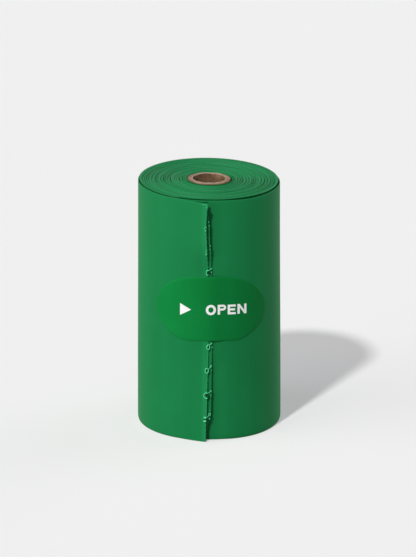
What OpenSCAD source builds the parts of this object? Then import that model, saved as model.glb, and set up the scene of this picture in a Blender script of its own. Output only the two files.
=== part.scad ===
// A roll of pick-up bags: folded film wound on a paperboard tube, its free end held by a label.
// The roll stands on one end. The origin is on its axis, at the foot, and the free end faces -Y.

/* [Roll] */
// Diameter of the roll over its outer turn
roll_d = 35; // [30:0.5:45]
// Width of the folded film, which is the height of the roll
film_w = 62; // [56:1:80]
// Spacing of the turns that can be told apart on the ends
turn_pitch = 0.7; // [0.55:0.05:1]
// Width of the groove between two turns
groove_w = 0.24; // [0.12:0.02:0.36]
// Depth of the deepest groove between two turns
groove_depth = 0.4; // [0.15:0.05:0.8]
// Gap behind the loose outer turn
loose_gap = 0.24; // [0.12:0.02:0.4]
// Depth of that gap, from each end
loose_depth = 2.4; // [1:0.1:5]
// How far the edges of the outer turn stop short of the ends
edge_drop = 0.25; // [0.05:0.05:0.6]

/* [Free end] */
// Thickness of one ply of the folded film
ply_t = 0.12; // [0.08:0.01:0.16]
// Air between the two plies of the free end
ply_air = 0.06; // [0.04:0.01:0.12]
// Where the free end leaves the roll, in degrees to the left of the front
root_angle = 26; // [20:1:34]
// Length of the outer ply from there to its torn edge
free_len = 7.6; // [6:0.1:9]
// How much further the under ply reaches
under_reach = 0.65; // [0.3:0.05:1.2]
// How straight the free end springs at the top, from 0 lying down to 1 straight out
top_spring = 0.8; // [0.1:0.05:1]
// How straight the free end springs at the foot
foot_spring = 1; // [0.1:0.05:1]
// Share of that spring that the under ply has
under_share = 0.55; // [0.3:0.05:0.9]
// Length of free end above the label over which the spring builds up
top_release = 9; // [5:0.5:14]
// Length of free end below the label over which the spring builds up
foot_release = 22; // [12:0.5:24]
// How far the top edge sinks towards its torn corner
top_sink = 0.25; // [0:0.05:0.6]

/* [Torn ties] */
// Spacing of the film ties that the perforation left
tie_pitch = 6.2; // [5:0.1:8]
// Height of the lowest tie
first_tie = 5.4; // [3:0.1:7]
// Width of a tie
tie_w = 1.1; // [0.6:0.1:1.6]
// Thickness of a tie, drawn thinner than the film
tie_t = 0.08; // [0.05:0.01:0.1]
// Radius of the curl of an outer tie
tie_curl = 0.36; // [0.2:0.02:0.5]
// How far the under ply's ties sit above the outer ones
tie_shift = 0.7; // [0.3:0.1:1.2]

/* [Core tube] */
// Outside diameter of the tube
core_od = 10.6; // [9:0.1:14]
// Wall of the tube
core_wall = 1.25; // [0.8:0.05:1.8]
// Thickness of the liner ply inside the tube
liner_t = 0.4; // [0.25:0.05:0.6]
// How far the tube stands out of the top of the roll
core_proud = 0.4; // [0:0.1:1.5]
// Gap between the tube and the first turn
core_clear = 0.1; // [0.05:0.05:0.25]

/* [Label] */
// Length of the label, measured along the roll
label_len = 29.9; // [26:0.1:34]
// Height of the label, with round ends
label_h = 16.7; // [12:0.1:20]
// Thickness of the label
label_t = 0.1; // [0.06:0.02:0.2]
// Height of the label's middle
label_z = 33.8; // [31:0.1:36]
// Where the middle of the label is, in degrees to the right of the front
label_turn = 1.4; // [-5:0.1:5]
// Gap under the label
label_clear = 0.03; // [0.03:0.01:0.06]
// Length over which the label comes down behind the torn edges
label_ramp = 2.4; // [1.5:0.1:4]

/* [Hidden] */
$fn = 96;

FILM = [0.11, 0.50, 0.27];
PRINTED_FILM = [0.05, 0.44, 0.18];
PAPERBOARD = [0.66, 0.50, 0.38];

lap = 0.2; // how far a cutting shape runs past the surface that it cuts
roll_r = roll_d / 2;
hole_r = core_od / 2 + core_clear;

// The free end is two plies, and its root is a step of their whole stack in the roll's surface
ply_seat = 0.02; // the outer ply starts this far below the outer turn's surface
ply_rest = 0.04; // the under ply lies this far above the turn below
web_t = ply_seat + 2 * ply_t + ply_air + ply_rest;
wound_r = roll_r - web_t - loose_gap;
edge_r = web_t / 2;

// Two centres this far apart let half circles join into a winding that grows by one step a turn
function second_centre(step) = step / 2;

// Grooves between the turns, counted from the hole outwards
turn_count = floor((wound_r - hole_r - turn_pitch) / turn_pitch);
function turn_r(i) = wound_r - turn_pitch / 2 - (turn_count - i) * turn_pitch;
// Turns pack unevenly, so each groove has its own share of the full depth
function groove_share(i) = 0.55 + 0.45 * sin(i * 137) * sin(i * 53);

label_low = label_z - label_h / 2;
label_high = label_z + label_h / 2;
label_margin = 0.4; // film beside the label that it still holds down
tail_low = edge_drop / 2;
tail_high = film_w - edge_drop;

ply_columns = 8;
ply_rows = 9;
root_lap = 0.5; // how far the plies run back into the outer turn
under_len = free_len + under_reach;
outer_ply_r = roll_r - ply_seat - ply_t / 2;
under_ply_r = outer_ply_r - ply_t - ply_air;

tie_lap = 0.3; // how far a tie runs back into its ply
tie_reach = 0.25; // straight film between the torn edge and the curl
outer_tie_turn = 230; // degrees that an outer tie curls round
under_tie_turn = 140; // degrees that an under tie curls round
under_tie_size = 0.75; // size of an under tie against an outer one
// Each tie tore a little off the regular pitch
tie_wander = [0, 0, 0, -0.1, 0, 0, 0.7, 0.25, 0.2, -0.5];

label_columns = 9;
end_columns = 9;
first_column = 5; // degrees of the round end left flat at its very tip

// Smooth step from 0 to 1
function ease(t) = t <= 0 ? 0 : t >= 1 ? 1 : t * t * (3 - 2 * t);
function blend(a, b, t) = a + (b - a) * t;
// A direction seen from above, with 0 at the front and positive to the right
function outward(a) = [sin(a), -cos(a)];
function along(a) = [cos(a), sin(a)];
function arc_angle(length, radius) = length / radius * 180 / PI;

// How far the free end has sprung at a height: 0 where the label holds it down
function spring(z) =
    z > label_high ? top_spring * ease((z - label_high - label_margin) / top_release)
    : foot_spring * pow(ease((label_low - label_margin - z) / foot_release), 0.8);

// Middle of a ply at a distance along the film from its root, and the way it faces there
function lying(r, u) = r * outward(arc_angle(u, r) - root_angle);
function sprung(r, u) = r * outward(-root_angle) + u * along(-root_angle);
function ply_path(r, u, lift) = blend(lying(r, u), sprung(r, u), lift);
function ply_bearing(r, u, lift) = blend(arc_angle(u, r), 0, lift) - root_angle;
function ply_height(u, z) = z - top_sink * max(0, u) / free_len * ease((z - label_high) / top_release);
function ply_point(r, u, z, share, side) =
    let (lift = share * spring(z))
    let (p = ply_path(r, u, lift) + side * ply_t / 2 * outward(ply_bearing(r, u, lift)))
    [p[0], p[1], ply_height(u, z)];

// Heights of the rows of a ply, with one tall strip behind the label
ply_heights = concat(
    [for (i = [0 : ply_rows]) blend(tail_low, label_low - label_margin, i / ply_rows)],
    [for (i = [0 : ply_rows]) blend(label_high + label_margin, tail_high, i / ply_rows)]
);

// Heights of the ties that fit on the film and aren't under the label
tie_slots = [for (k = [0 : floor((tail_high - first_tie) / tie_pitch)]) k];
function tie_height(k) = first_tie + k * tie_pitch + tie_wander[k % len(tie_wander)];
function tie_fits(z) =
    z + tie_w / 2 < tail_high - top_sink
    && (z - tie_w / 2 > label_high || z + tie_w / 2 + tie_shift < label_low);

// Faces of a thin closed sheet, listed as an outer grid of points and then an inner one
function sheet_faces(rows, columns) =
    let (n = rows * columns)
    let (cell = function(i, j) i * columns + j)
    concat(
        [for (i = [0 : rows - 2], j = [0 : columns - 2], half = [0, 1])
            half == 0 ? [cell(i, j), cell(i + 1, j), cell(i + 1, j + 1)]
            : [cell(i, j), cell(i + 1, j + 1), cell(i, j + 1)]],
        [for (i = [0 : rows - 2], j = [0 : columns - 2], half = [0, 1])
            half == 0 ? [n + cell(i, j), n + cell(i + 1, j + 1), n + cell(i + 1, j)]
            : [n + cell(i, j), n + cell(i, j + 1), n + cell(i + 1, j + 1)]],
        [for (i = [0 : rows - 2], half = [0, 1])
            half == 0 ? [cell(i, 0), n + cell(i, 0), n + cell(i + 1, 0)]
            : [cell(i, 0), n + cell(i + 1, 0), cell(i + 1, 0)]],
        [for (i = [0 : rows - 2], half = [0, 1])
            half == 0 ? [cell(i, columns - 1), n + cell(i + 1, columns - 1), n + cell(i, columns - 1)]
            : [cell(i, columns - 1), cell(i + 1, columns - 1), n + cell(i + 1, columns - 1)]],
        [for (j = [0 : columns - 2], half = [0, 1])
            half == 0 ? [cell(0, j), n + cell(0, j + 1), n + cell(0, j)]
            : [cell(0, j), cell(0, j + 1), n + cell(0, j + 1)]],
        [for (j = [0 : columns - 2], half = [0, 1])
            half == 0 ? [cell(rows - 1, j), n + cell(rows - 1, j), n + cell(rows - 1, j + 1)]
            : [cell(rows - 1, j), n + cell(rows - 1, j + 1), cell(rows - 1, j + 1)]]
    );

// Radius of the surface that the label lies on, at an angle to the right of the front
free_edge = arc_angle(free_len, roll_r) - root_angle;
function step_r(a) =
    let (c = second_centre(web_t), t = a + root_angle)
    sqrt(pow(roll_r - c, 2) - pow(c * sin(t), 2)) - c * cos(t);
function skin_r(a) =
    let (down = ease((a - free_edge) / arc_angle(label_ramp, roll_r)))
    a <= free_edge ? roll_r : blend(roll_r, step_r(a), down);

// Distances along the label of its columns: close together in the round ends
label_end_r = label_h / 2;
function end_distance(i) = label_end_r * (1 - cos(blend(first_column, 90, i / end_columns)));
label_straight = label_len - 2 * label_end_r;
label_steps = concat(
    [for (i = [0 : end_columns - 1]) end_distance(i)],
    [for (i = [0 : label_columns]) label_end_r + label_straight * i / label_columns],
    [for (i = [end_columns - 1 : -1 : 0]) label_len - end_distance(i)]
);
function half_height(u) =
    let (d = min(u, label_len - u))
    d >= label_end_r ? label_end_r : sqrt(pow(label_end_r, 2) - pow(label_end_r - d, 2));
function label_point(u, end, lift) =
    let (a = label_turn + arc_angle(u - label_len / 2, roll_r))
    let (p = (skin_r(a) + lift) * outward(a))
    [p[0], p[1], label_z + end * half_height(u)];

// Half circles about two centres that together make one winding: the step faces the free end's root
module winding(step) {
    rotate([0, 0, -90 - root_angle]) {
        rotate([0, 0, 180]) rotate_extrude(angle = 180) children(0);
        translate([-second_centre(step), 0, 0]) rotate_extrude(angle = 180) children(1);
    }
}

module mirror_ends() {
    children();
    translate([0, film_w]) mirror([0, 1]) children();
}

// Section of the grooves between the turns, from one of the two centres
module groove_section(shift, first) {
    for (i = [first : turn_count]) {
        r = turn_r(i) - shift;
        deep = groove_depth * groove_share(i);
        half = groove_w / 2;
        over = 1 + lap / deep;
        polygon([[r - half * over, film_w + lap], [r, film_w - deep], [r + half * over, film_w + lap]]);
    }
}

module turn_grooves() {
    winding(turn_pitch) {
        mirror_ends() groove_section(0, 0);
        mirror_ends() groove_section(second_centre(turn_pitch), 1);
    }
}

// Section cut away at an end: the gap behind the outer turn, and the space over its rounded edge
module loose_section(outer_r) {
    inner_r = outer_r - web_t;
    edge_z = film_w - edge_drop - edge_r;
    polygon(concat(
        [[inner_r - loose_gap, film_w + lap], [inner_r - loose_gap, film_w - loose_depth]],
        [for (a = [180 : -30 : 0]) [outer_r - edge_r + edge_r * cos(a), edge_z + edge_r * sin(a)]],
        [[outer_r + lap, edge_z], [outer_r + lap, film_w + lap]]
    ));
}

module loose_turn_gap() {
    winding(web_t) {
        mirror_ends() loose_section(roll_r);
        mirror_ends() loose_section(roll_r - second_centre(web_t));
    }
}

module wound_film() {
    difference() {
        winding(web_t) {
            square([roll_r, film_w]);
            square([roll_r - second_centre(web_t), film_w]);
        }
        translate([0, 0, -lap]) cylinder(r = hole_r, h = film_w + 2 * lap);
        turn_grooves();
        loose_turn_gap();
    }
}

// One ply of the free end, from inside the outer turn to its torn edge
module ply(r, length, share) {
    steps = [for (j = [0 : ply_columns]) blend(-root_lap, length, j / ply_columns)];
    polyhedron(
        points = [for (side = [1, -1], z = ply_heights, u = steps) ply_point(r, u, z, share, side)],
        faces = sheet_faces(len(ply_heights), len(steps))
    );
}

// A tie that tore and curled back outwards, on the edge of a ply at one height
module torn_tie(r, length, share, z, size, turn) {
    lift = share * spring(z);
    p = ply_path(r, length, lift);
    curl = tie_curl * size;
    translate([p[0], p[1], ply_height(length, z)])
        rotate([0, 0, ply_bearing(r, length, lift)]) {
            translate([-tie_lap, -tie_t / 2, -tie_w * size / 2])
                cube([tie_lap + tie_reach, tie_t, tie_w * size]);
            translate([tie_reach, -curl, -tie_w * size / 2])
                rotate([0, 0, 90 - turn]) rotate_extrude(angle = turn)
                    translate([curl - tie_t / 2, 0]) square([tie_t, tie_w * size]);
        }
}

module free_end() {
    ply(outer_ply_r, free_len, 1);
    ply(under_ply_r, under_len, under_share);
    for (k = tie_slots) {
        z = tie_height(k);
        if (tie_fits(z)) {
            torn_tie(outer_ply_r, free_len, 1, z, 1, outer_tie_turn);
            torn_tie(under_ply_r, under_len, under_share, z + tie_shift, under_tie_size, under_tie_turn);
        }
    }
}

module bag_roll() {
    color(FILM) {
        wound_film();
        free_end();
    }
}

// Straight-cut tube, with a fine line between the board and its liner on each cut end
module core_tube() {
    line_w = 0.12;
    line_r = core_od / 2 - core_wall + liner_t;
    length = film_w + core_proud;
    color(PAPERBOARD) difference() {
        cylinder(d = core_od, h = length);
        translate([0, 0, -lap]) cylinder(d = core_od - 2 * core_wall, h = length + 2 * lap);
        for (end = [0, 1])
            translate([0, 0, end * length]) rotate_extrude()
                polygon([[line_r - line_w, 0], [line_r, line_w], [line_r + line_w, 0], [line_r, -line_w]]);
    }
}

// A label with round ends that follows the roll and comes down over the torn edges
module label() {
    color(PRINTED_FILM) polyhedron(
        points = [for (lift = [label_clear + label_t, label_clear], end = [-1, 1], u = label_steps)
            label_point(u, end, lift)],
        faces = sheet_faces(2, len(label_steps))
    );
}

core_tube();
bag_roll();
label();
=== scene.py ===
"""A roll of pick-up bags, dressed for a studio picture: wound film, free end, label and paperboard tube."""
import math
import random

import bmesh
import bpy
import numpy as np
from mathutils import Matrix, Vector


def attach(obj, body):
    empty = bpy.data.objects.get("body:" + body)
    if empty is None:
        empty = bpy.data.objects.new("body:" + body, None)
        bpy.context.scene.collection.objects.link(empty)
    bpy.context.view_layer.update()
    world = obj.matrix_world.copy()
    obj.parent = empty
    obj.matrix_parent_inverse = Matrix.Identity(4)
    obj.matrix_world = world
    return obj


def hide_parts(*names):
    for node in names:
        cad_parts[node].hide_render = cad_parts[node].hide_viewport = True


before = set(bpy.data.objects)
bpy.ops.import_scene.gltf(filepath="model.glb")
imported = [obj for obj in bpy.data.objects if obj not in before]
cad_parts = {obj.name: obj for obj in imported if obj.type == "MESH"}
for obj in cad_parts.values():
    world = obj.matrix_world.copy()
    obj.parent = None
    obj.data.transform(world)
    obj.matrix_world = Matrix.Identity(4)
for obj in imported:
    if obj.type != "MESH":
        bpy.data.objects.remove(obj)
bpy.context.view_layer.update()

# Lengths of the shapes are in millimetres, and MM turns them into metres where a mesh is made.
# An angle on the roll is measured from the front, -Y, and grows to the right.
MM = 0.001

# The roll: a web of folded film is wound to ROLL_R, and its last turn is slack at both rims.
ROLL_R = 17.5
FILM_W = 62.0
WEB_T = 0.36
LOOSE_GAP = 0.24
LOOSE_DEPTH = 2.4
RIM_DROP = 0.45
RIM_PULL = 0.16
TURN_T = 0.22
FOOT_LIFT = 0.03
HOLE_R = 5.4
ROOT = math.radians(-26)

# How the standing roll has settled.
FOOT_SPREAD = 0.016
LEAN_LEFT = 0.018
LEAN_DOWN = -0.1
LEAN_FROM = 44.0

# The free end: two plies that run on from the outer turn at ROOT and spring away above and below the label.
PLY_T = 0.12
FREE_LEN = 7.6
UNDER_LEN = 8.25
UNDER_DROP = 0.18
UNDER_SHARE = 0.42
TOP_SPRING = 0.95
FOOT_SPRING = 0.72
TOP_RELEASE = 9.0
FOOT_RELEASE = 22.0
FOOT_CURVE = 0.8
HELD_MARGIN = 0.4
TIP_SINK = 0.33
SINK_CURVE = 0.8
TIE_HEIGHTS = (5.95, 12.1, 18.4, 24.35, 43.6, 49.4, 55.5)

# The label, laid out flat and wrapped round the front. It slopes and droops a little to both ends.
LABEL_LEN = 29.5
LABEL_H = 16.5
LABEL_Z = 34.15
LABEL_TURN = math.radians(1.6)
LABEL_SLOPE = 0.012
LABEL_DROOP = 0.0037
LEFT_END = 11.5
RIGHT_END = 12.8
LABEL_CLEAR = 0.03
LABEL_T = 0.11
LABEL_RAMP = 5.5
LABEL_LOW = LABEL_Z - LABEL_H / 2
LABEL_HIGH = LABEL_Z + LABEL_H / 2

# The paperboard tube.
TUBE_R = 5.3
TUBE_WALL = 1.25
LINER_T = 0.4
TUBE_LEN = 62.1
TUBE_OVAL = 0.07


def ease(t):
    """A smooth step from 0 to 1."""
    t = np.clip(t, 0.0, 1.0)
    return t * t * (3.0 - 2.0 * t)


def bump(x, middle, width):
    """A soft hump: 1 in the middle, 0 well outside its width."""
    return np.exp(-(((x - middle) / width) ** 2))


def swell(x, shape):
    """A bump from its height, its middle and its width."""
    height, middle, width = shape
    return height * bump(x, middle, width)


def rise(x, shape):
    """A smooth step from its height, where it starts and where it is full."""
    height, start, full = shape
    return height * ease((x - start) / (full - start))


def wander(seed, waves, slowest=1):
    """A smooth line that wanders between about -1 and 1. It closes after a full turn."""
    draw = random.Random(seed)
    parts = [
        (slowest + k, draw.uniform(0, 2 * math.pi), draw.uniform(0.5, 1.0) / math.sqrt(1 + k))
        for k in range(waves)
    ]
    total = math.sqrt(sum(size * size for _, _, size in parts))

    def line(x):
        return sum(size * np.sin(rate * x + start) for rate, start, size in parts) / total

    return line


def outward(a):
    """The level direction out of the roll at an angle."""
    return np.stack([np.sin(a), -np.cos(a)], axis=-1)


def along(a):
    """The level direction along the film at an angle, to the right as seen from the front."""
    return np.stack([np.cos(a), np.sin(a)], axis=-1)


# Meshes


def settled(points):
    """The wound film as it stands: its foot spread a little, its top a little higher at the left."""
    x, y, z = np.asarray(points, float).T
    spread = 1 + FOOT_SPREAD * ease(1 - z / FILM_W)
    lean = (LEAN_LEFT * x + LEAN_DOWN) * ease((z - LEAN_FROM) / (FILM_W - LEAN_FROM))
    return np.column_stack([x * spread, y * spread, z - lean])


def mesh_piece(name, points, faces, material, crease=40):
    """A piece from points in millimetres. Edges sharper than the crease angle stay sharp."""
    mesh = bpy.data.meshes.new(name)
    mesh.from_pydata((settled(points) * MM).tolist(), [], faces)
    mesh.validate()
    shell = bmesh.new()
    shell.from_mesh(mesh)
    bmesh.ops.recalc_face_normals(shell, faces=shell.faces)
    shell.to_mesh(mesh)
    shell.free()
    mesh.shade_smooth()
    mesh.set_sharp_from_angle(angle=math.radians(crease))
    mesh.materials.append(material)
    piece = bpy.data.objects.new(name, mesh)
    bpy.context.scene.collection.objects.link(piece)
    return piece


def strip_faces(start, rows, columns, closed_rows=False, closed_columns=False):
    """Quads of a grid of points that is stored row after row."""
    faces = []
    for i in range(rows if closed_rows else rows - 1):
        for j in range(columns if closed_columns else columns - 1):
            a, b = i * columns + j, i * columns + (j + 1) % columns
            c, d = ((i + 1) % rows) * columns + (j + 1) % columns, ((i + 1) % rows) * columns + j
            faces.append((start + a, start + b, start + c, start + d))
    return faces


def sheet_mesh(outer, inner):
    """Points and faces of a thin closed sheet between two grids of points."""
    rows, columns = outer.shape[:2]
    count = rows * columns
    points = np.concatenate([outer.reshape(-1, 3), inner.reshape(-1, 3)])
    faces = strip_faces(0, rows, columns)
    faces += [tuple(reversed(f)) for f in strip_faces(count, rows, columns)]
    rim = list(range(columns))
    rim += [i * columns + columns - 1 for i in range(1, rows)]
    rim += [(rows - 1) * columns + j for j in range(columns - 2, -1, -1)]
    rim += [i * columns for i in range(rows - 2, 0, -1)]
    for a, b in zip(rim, rim[1:] + rim[:1]):
        faces.append((b, a, count + a, count + b))
    return points, faces


def bead_mesh(path, radii, sides=8):
    """Points and faces of a round bead along a path, closed at both ends."""
    path = [Vector(p) for p in path]
    points, faces = [], []
    guide = Vector((0.3, 0.2, 1.0)).normalized()
    for i, p in enumerate(path):
        way = (path[min(i + 1, len(path) - 1)] - path[max(i - 1, 0)]).normalized()
        side = way.cross(guide)
        side = side.normalized() if side.length > 1e-3 else way.orthogonal().normalized()
        guide = side.cross(way)
        for k in range(sides):
            a = 2 * math.pi * k / sides
            points.append(p + radii[i] * (math.cos(a) * side + math.sin(a) * guide))
    faces = strip_faces(0, len(path), sides, closed_columns=True)
    for row, middle, flip in ((0, path[0], False), (len(path) - 1, path[-1], True)):
        points.append(middle)
        tip = len(points) - 1
        for k in range(sides):
            a, b = row * sides + k, row * sides + (k + 1) % sides
            faces.append((tip, a, b) if flip else (tip, b, a))
    return [tuple(p) for p in points], faces


def joined(parts):
    """Several points-and-faces pairs as one."""
    points, faces = [], []
    for some_points, some_faces in parts:
        start = len(points)
        points.extend(tuple(p) for p in some_points)
        faces.extend(tuple(start + i for i in f) for f in some_faces)
    return points, faces


# The roll's surfaces

TUCK = 0.3
TUCK_ANGLE = 0.3
HELD_FADE = 8.0
HELD_SHARE = 0.65

# The outer turn's swells: a height, the middle in degrees from the front, and a width in degrees.
FLAT_BESIDE_TAIL = (-0.36, 4, 12)
FULL_AT_RIGHT = (0.30, 42, 22)
FULL_AT_RIGHT_FOOT = (0.10, 85, 30)
FIRM_AT_ROOT = (1, math.degrees(ROOT), 6)

# Its waves, and how far from a rim it draws in.
SLOW_WAVE = 0.016
FINE_WAVE = 0.005
FINE_WAVE_SLANT = 0.002
RIM_ROUND = 0.9

slow_side = wander(11, 5, slowest=3)
fine_side = wander(12, 9, slowest=9)


def winding_r(theta):
    """Radius of the outer turn.

    It is made of half circles about two centres, so that a full turn back from the free end's root lies a
    web's thickness deeper. Beyond that its hidden start tucks in.
    """
    t = theta - ROOT
    c = WEB_T / 2
    shifted = np.sqrt((ROLL_R - c) ** 2 - (c * np.sin(t)) ** 2) - c * np.cos(t)
    turn = np.where(t >= -np.pi, ROLL_R, shifted)
    tucked = ROLL_R - WEB_T - TUCK * ease((-2 * np.pi - t) / TUCK_ANGLE)
    return np.where(t < -2 * np.pi, tucked, turn)


def held(z):
    """1 where the label holds the film down, 0 well away from it."""
    return ease(1 - (np.abs(z - LABEL_Z) - LABEL_H / 2) / HELD_FADE)


def slackness(phi, z):
    """How far the outer turn stands off a true cylinder: flatter beside the free end, fuller at the right."""
    degrees = np.degrees(phi)
    loose = 1 - HELD_SHARE * held(z)
    flat = swell(degrees, FLAT_BESIDE_TAIL)
    flare = swell(degrees, FULL_AT_RIGHT) + swell(degrees, FULL_AT_RIGHT_FOOT) * ease(1 - z / FILM_W)
    waves = SLOW_WAVE * slow_side(phi) + FINE_WAVE * fine_side(phi + FINE_WAVE_SLANT * z)
    return (flat * loose + flare + waves) * (1 - swell(degrees, FIRM_AT_ROOT))


def rim_pull(z):
    """How far the film draws in at the two rims."""
    near = np.minimum(z, FILM_W - z)
    return RIM_PULL * np.clip(1 - near / RIM_ROUND, 0, 1) ** 2


def wrapped(theta):
    """An unwrapped angle brought back to between half a turn left and half a turn right."""
    return (theta + np.pi) % (2 * np.pi) - np.pi


def side_r(theta, z):
    """Radius of the outer turn's face at an unwrapped angle and a height."""
    return winding_r(theta) + slackness(wrapped(theta), z) - rim_pull(z)


# The free end's torn edges: how far they swing to the right, and the heights where they do.
RAG = 0.05
TOP_CORNER = ((0.14, 56, 59), (0.28, 59.5, 61.1))
TORN_SWELLS = ((0.17, 50.5, 3), (0.12, 27, 5), (0.08, 43, 3))
FOOT_CORNER = (-0.28, 9, 3)
TIE_PULL = 0.10
TIE_PULL_W = 0.45
UNDER_SHOWS = 0.15
UNDER_DRAWN_BACK = ((-0.35, 46, 52), (-0.65, 56, 60), (-0.9, 8, 2))
UNDER_DENT = (-0.2, 44.5, 2)
OUTER_SEED = 31
UNDER_SEED = 32


def spring(z):
    """How far the free end has sprung at a height: 0 under the label, 1 straight out."""
    top = TOP_SPRING * ease((z - LABEL_HIGH - HELD_MARGIN) / TOP_RELEASE)
    foot = FOOT_SPRING * ease((LABEL_LOW - HELD_MARGIN - z) / FOOT_RELEASE) ** FOOT_CURVE
    return np.where(z > LABEL_Z, top, foot)


def tail_point(r, s, z, share):
    """A point of the free end at a distance along the film from its root, and the way it faces there."""
    lift = share * spring(z)
    lying = r * outward(s / r + ROOT)
    sprung = r * outward(ROOT) + s[..., None] * along(ROOT)
    place = lying + (sprung - lying) * lift[..., None]
    bearing = (1 - lift) * s / r + ROOT
    sink = TIP_SINK * (np.maximum(s, 0) / FREE_LEN) ** SINK_CURVE * ease((z - LABEL_HIGH) / TOP_RELEASE)
    return place, bearing, z - sink


def torn_line(z, seed):
    """How far a torn edge wanders to the right of its mean line."""
    rag = RAG * wander(seed, 7, slowest=5)(z * 0.9)
    corners = sum(rise(z, corner) for corner in (*TOP_CORNER, FOOT_CORNER))
    swells = sum(swell(z, shape) for shape in TORN_SWELLS)
    pulls = TIE_PULL * sum(bump(z, tie, TIE_PULL_W) for tie in TIE_HEIGHTS)
    return corners + swells + rag + pulls


def outer_line(z):
    return torn_line(z, OUTER_SEED)


def under_line(z):
    """The under ply's torn edge. It draws back under the outer ply near both ends of the roll."""
    drawn_back = sum(rise(z, shape) for shape in UNDER_DRAWN_BACK)
    return torn_line(z, UNDER_SEED) + UNDER_SHOWS + drawn_back + swell(z, UNDER_DENT)


# Heights of the web's rows of points: close together at both rims, even on the side.
FOOT_ROWS = (0, 0.15, 0.35, 0.6, 0.9)
SIDE_FROM, SIDE_TO, SIDE_ROWS = 1.3, FILM_W - 2.2, 92
TOP_ROWS = (0.4, 0.8, 1.1, 1.35, 1.55)
RIM_ARC = np.radians([-90, -60, -30])


def web_chains(s, z_low, z_top, thick, place_of):
    """Outer and inner chains of points over the web's height at one distance along it, with round rims."""
    side = np.linspace(SIDE_FROM, SIDE_TO, SIDE_ROWS)
    rows = np.concatenate([FOOT_ROWS, side, SIDE_TO + np.array(TOP_ROWS)])
    rows = z_low + rows / rows[-1] * (z_top - z_low)
    rim = np.ones(len(RIM_ARC))
    at = np.concatenate([rows[0] * rim, rows, rows[-1] * rim])
    turn = np.concatenate([RIM_ARC, np.zeros(len(rows)), -RIM_ARC[::-1]])
    place, bearing, height = place_of(np.full(len(at), s), at)
    face = outward(bearing)
    half = thick / 2
    outer = place - (half * (1 - np.cos(turn)))[:, None] * face
    inner = place - (half * (1 + np.cos(turn)))[:, None] * face
    z = height + half * np.sin(turn)
    return np.column_stack([outer, z]), np.column_stack([inner, z])


def web_piece(name, stations, material):
    """A closed web through stations, which are pairs of chains that share their first and last points."""
    loops = [np.concatenate([a, b[-2:0:-1]]) for a, b in stations]
    size, count = len(loops[0]), len(stations[0][0])
    points = np.concatenate(loops)
    faces = strip_faces(0, len(loops), size, closed_columns=True)
    for loop, flip in ((0, False), (len(loops) - 1, True)):
        base = loop * size
        front = [base + i for i in range(count)]
        back = [base] + [base + size - i for i in range(1, count - 1)] + [base + count - 1]
        for i in range(count - 1):
            corners = []
            for v in (front[i], front[i + 1], back[i + 1], back[i]):
                if v not in corners:
                    corners.append(v)
            faces.append(tuple(corners[::-1] if flip else corners))
    return mesh_piece(name, points, faces, material)


# The web's stations along its length, and where it thins and draws in. Lengths are along the film.
TURN_STATIONS = 256
HIDDEN_START = 0.33
START_GROWS = 5.0
THINS_BEFORE_ROOT = 0.4
THINS_OVER = 2.4
RIM_WAVE = 0.05
RIM_WAVE_FADE = 6.0
RIM_PULL_FADE = 4.0
OUTER_STATIONS = (0, FREE_LEN - 0.6, 20)
OUTER_TIP = (0.35, 0.15, 0.05, 0)
UNDER_STATIONS = (-2.0, UNDER_LEN - 0.5, 22)
UNDER_TIP = (0.25, 0.08, 0)
WEB_LOW = FOOT_LIFT + PLY_T / 2
WEB_TOP = FILM_W - RIM_DROP - PLY_T / 2

rim_wave = wander(21, 6, slowest=2)


def ply_stations(spread, length, tip):
    """Distances along a ply: even ones, then close ones at its torn edge."""
    return np.concatenate([np.linspace(*spread), length - np.array(tip)])


def outer_turn(material):
    """The outer turn of film, all the way round, and the outer ply of the free end that it runs into."""
    stations = []

    def turn_place(s, z):
        theta = ROOT + s / ROLL_R
        return side_r(theta, z)[:, None] * outward(theta), theta, z

    def tail_place(s, z):
        reach = s * (FREE_LEN + outer_line(z)) / FREE_LEN
        place, bearing, height = tail_point(ROLL_R, reach, z, 1.0)
        pull = rim_pull(z) * ease(1 - s / RIM_PULL_FADE)
        return place - pull[:, None] * outward(bearing), bearing, height

    start = -(2 * math.pi + HIDDEN_START) * ROLL_R
    for s in np.linspace(start, 0, TURN_STATIONS)[:-1]:
        full = float(ease((-THINS_BEFORE_ROOT - s) / THINS_OVER) * ease((s - start) / START_GROWS))
        thick = PLY_T + (TURN_T - PLY_T) * full
        top = FILM_W - RIM_DROP + RIM_WAVE * float(rim_wave(s / ROLL_R) * ease(-s / RIM_WAVE_FADE))
        stations.append(web_chains(s, FOOT_LIFT + thick / 2, top - thick / 2, thick, turn_place))
    for s in ply_stations(OUTER_STATIONS, FREE_LEN, OUTER_TIP):
        stations.append(web_chains(s, WEB_LOW, WEB_TOP, PLY_T, tail_place))
    return web_piece("outer_turn", stations, material)


def under_ply(material):
    """The inner ply of the free end, which reaches a little further and springs less."""
    r = ROLL_R - UNDER_DROP

    def place_of(s, z):
        reach = np.where(s > 0, s * (UNDER_LEN + under_line(z)) / UNDER_LEN, s)
        place, bearing, height = tail_point(r, reach, z, UNDER_SHARE)
        pull = rim_pull(z) * ease(1 - s / RIM_PULL_FADE)
        return place - pull[:, None] * outward(bearing), bearing, height

    along_ply = ply_stations(UNDER_STATIONS, UNDER_LEN, UNDER_TIP)
    stations = [web_chains(s, WEB_LOW, WEB_TOP, PLY_T, place_of) for s in along_ply]
    return web_piece("under_ply", stations, material)


# The wound turns under the outer one

# How the spiral widens from the tube outwards. The swings are shares of a mean turn's width.
TURNS = 18.664
TURN_COLUMNS = 200
SLOW_SWING, SLOW_SPAN = 0.62, 7.3
QUICK_SWING, QUICK_SPAN = 0.25, 3.1
THINNEST = 0.3
FIRST_SHARE, FIRST_SPAN = 0.12, 1.6
FIRST_STEP = 0.05
INNER_SLACK = (0.3, 82, 34)
INNER_SLACK_TURNS = 2.2

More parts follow.
